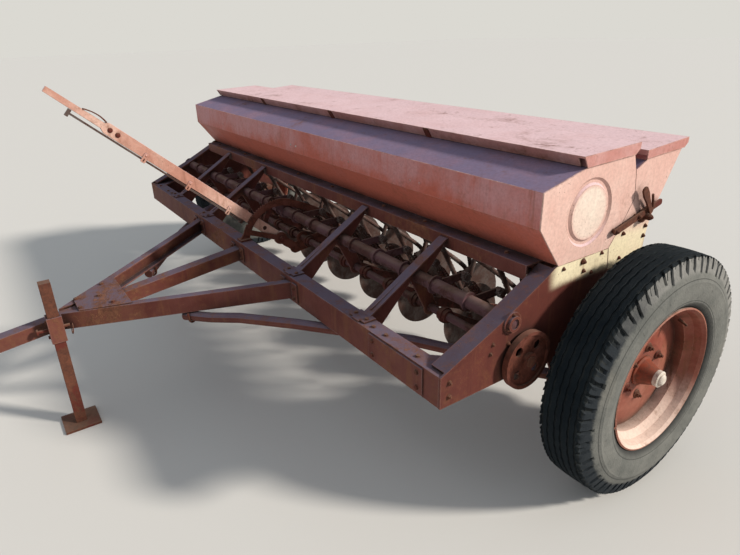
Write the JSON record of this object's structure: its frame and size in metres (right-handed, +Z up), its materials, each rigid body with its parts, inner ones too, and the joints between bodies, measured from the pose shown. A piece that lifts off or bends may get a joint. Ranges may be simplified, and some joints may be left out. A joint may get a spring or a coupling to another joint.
{
  "type": "towed grain and fertiliser seed drill",
  "caption": "Towed drill with two long lidded boxes on a channel frame, two end wheels, a drawbar on a stand, and disc openers raised by a hand lever.",
  "frame": {"origin": "on the floor under the middle of the overall box", "axes": "+X to the right-hand wheel, the drawbar points to -Y, +Z up"},
  "size_m": [3.624, 2.545, 1.4598],
  "materials": {
    "faded_red": "chalky faded red with rust",
    "sunned_red": "sun-bleached red",
    "rusty_steel": "rusted",
    "worn_steel": "dull, stained",
    "tyre_rubber": "old and dusty"
  },
  "bodies": {
    "chassis": {"front_beam": "faded_red", "end_frame_right": "faded_red", "end_frame_left": "faded_red", "sloped_rails": "faded_red", "hopper_rail": "faded_red", "rear_beam": "faded_red", "tongue_bar_right": "faded_red", "tongue_bar_left": "faded_red", "tongue_middle_bar": "faded_red", "hitch_clevis": "rusty_steel", "draft_brace_right": "faded_red", "draft_brace_left": "faded_red", "stand_sleeve": "faded_red", "grain_box": "faded_red", "fertiliser_box": "faded_red", "grain_box_end_right": "sunned_red", "grain_box_end_left": "sunned_red", "fertiliser_box_end_right": "sunned_red", "fertiliser_box_end_left": "sunned_red", "feed_cups": "worn_steel", "fertiliser_cups": "worn_steel", "feed_shafts": "worn_steel", "seed_tubes": "worn_steel", "fertiliser_tubes": "worn_steel", "gang_shaft": "worn_steel", "drive_disc_right": "rusty_steel", "drive_disc_left": "rusty_steel", "lever_quadrant": "rusty_steel", "axle_right": "rusty_steel", "axle_left": "rusty_steel"},
    "wheel_right": {"tyre_right": "tyre_rubber", "rim_right": "sunned_red", "hub_right": "rusty_steel"},
    "wheel_left": {"tyre_left": "tyre_rubber", "rim_left": "sunned_red", "hub_left": "rusty_steel"},
    "grain_lid": {"grain_lid": "sunned_red"},
    "fertiliser_lid": {"fertiliser_lid": "sunned_red"},
    "hand_lever": {"lift_lever": "sunned_red", "latch_rod": "worn_steel"},
    "link": {"lift_link": "rusty_steel"},
    "rockshaft": {"rockshaft": "rusty_steel"},
    "swivels": {"swivels": "worn_steel"},
    "openers": {"drag_bars": "rusty_steel", "seed_boots": "rusty_steel", "disc_blades": "worn_steel"},
    "rods": {"pressure_rods": "worn_steel", "pressure_springs": "rusty_steel"},
    "stand": {"parking_stand": "rusty_steel"}
  },
  "joints": [
    {"name": "wheel_right_spin", "type": "hinge", "parent": "chassis", "child": "wheel_right", "pos_m": [1.708, 0.8075, 0.465], "axis": [1, 0, 0], "continuous": true},
    {"name": "wheel_left_spin", "type": "hinge", "parent": "chassis", "child": "wheel_left", "pos_m": [-1.708, 0.8075, 0.465], "axis": [1, 0, 0], "continuous": true},
    {"name": "grain_lid_hinge", "type": "hinge", "parent": "chassis", "child": "grain_lid", "pos_m": [0, 0.8455, 1.25153], "axis": [-1, 0, 0], "range_deg": [0, 100]},
    {"name": "fertiliser_lid_hinge", "type": "hinge", "parent": "chassis", "child": "fertiliser_lid", "pos_m": [0, 1.1515, 1.23301], "axis": [-1, 0, 0], "range_deg": [0, 100]},
    {"name": "lift_lever_hinge", "type": "hinge", "parent": "chassis", "child": "hand_lever", "pos_m": [0, 0.2175, 0.634], "axis": [1, 0, 0], "range_deg": [-40, 0]},
    {"name": "link_hinge", "type": "hinge", "parent": "hand_lever", "child": "link", "pos_m": [0, 0.13473, 0.70646], "axis": [1, 0, 0], "range_deg": [0, 40]},
    {"name": "rockshaft_hinge", "type": "hinge", "parent": "chassis", "child": "rockshaft", "pos_m": [0, 0.2775, 0.762], "axis": [1, 0, 0], "range_deg": [-40, 0]},
    {"name": "swivel_hinge", "type": "hinge", "parent": "rockshaft", "child": "swivels", "pos_m": [0, 0.4175, 0.762], "axis": [1, 0, 0], "range_deg": [0, 40]},
    {"name": "opener_hinge", "type": "hinge", "parent": "chassis", "child": "openers", "pos_m": [0, 0.3425, 0.612], "axis": [1, 0, 0], "range_deg": [-15, 0], "deforming": ["seed_tubes", "fertiliser_tubes"]},
    {"name": "rod_hinge", "type": "hinge", "parent": "openers", "child": "rods", "pos_m": [0, 0.6175, 0.495], "axis": [1, 0, 0], "range_deg": [0, 15.92]},
    {"name": "stand_slide", "type": "slide", "parent": "chassis", "child": "stand", "axis": [0, 0, 1], "range_m": [0, 0.35]}
  ],
  "couplings": [
    {"joint": "link_hinge", "follows": "lift_lever_hinge", "ratio": -1},
    {"joint": "rockshaft_hinge", "follows": "lift_lever_hinge", "ratio": 1},
    {"joint": "swivel_hinge", "follows": "lift_lever_hinge", "ratio": -1},
    {"joint": "opener_hinge", "follows": "lift_lever_hinge", "ratio": 0.375},
    {"joint": "rod_hinge", "follows": "lift_lever_hinge", "ratio": -0.398}
  ]
}
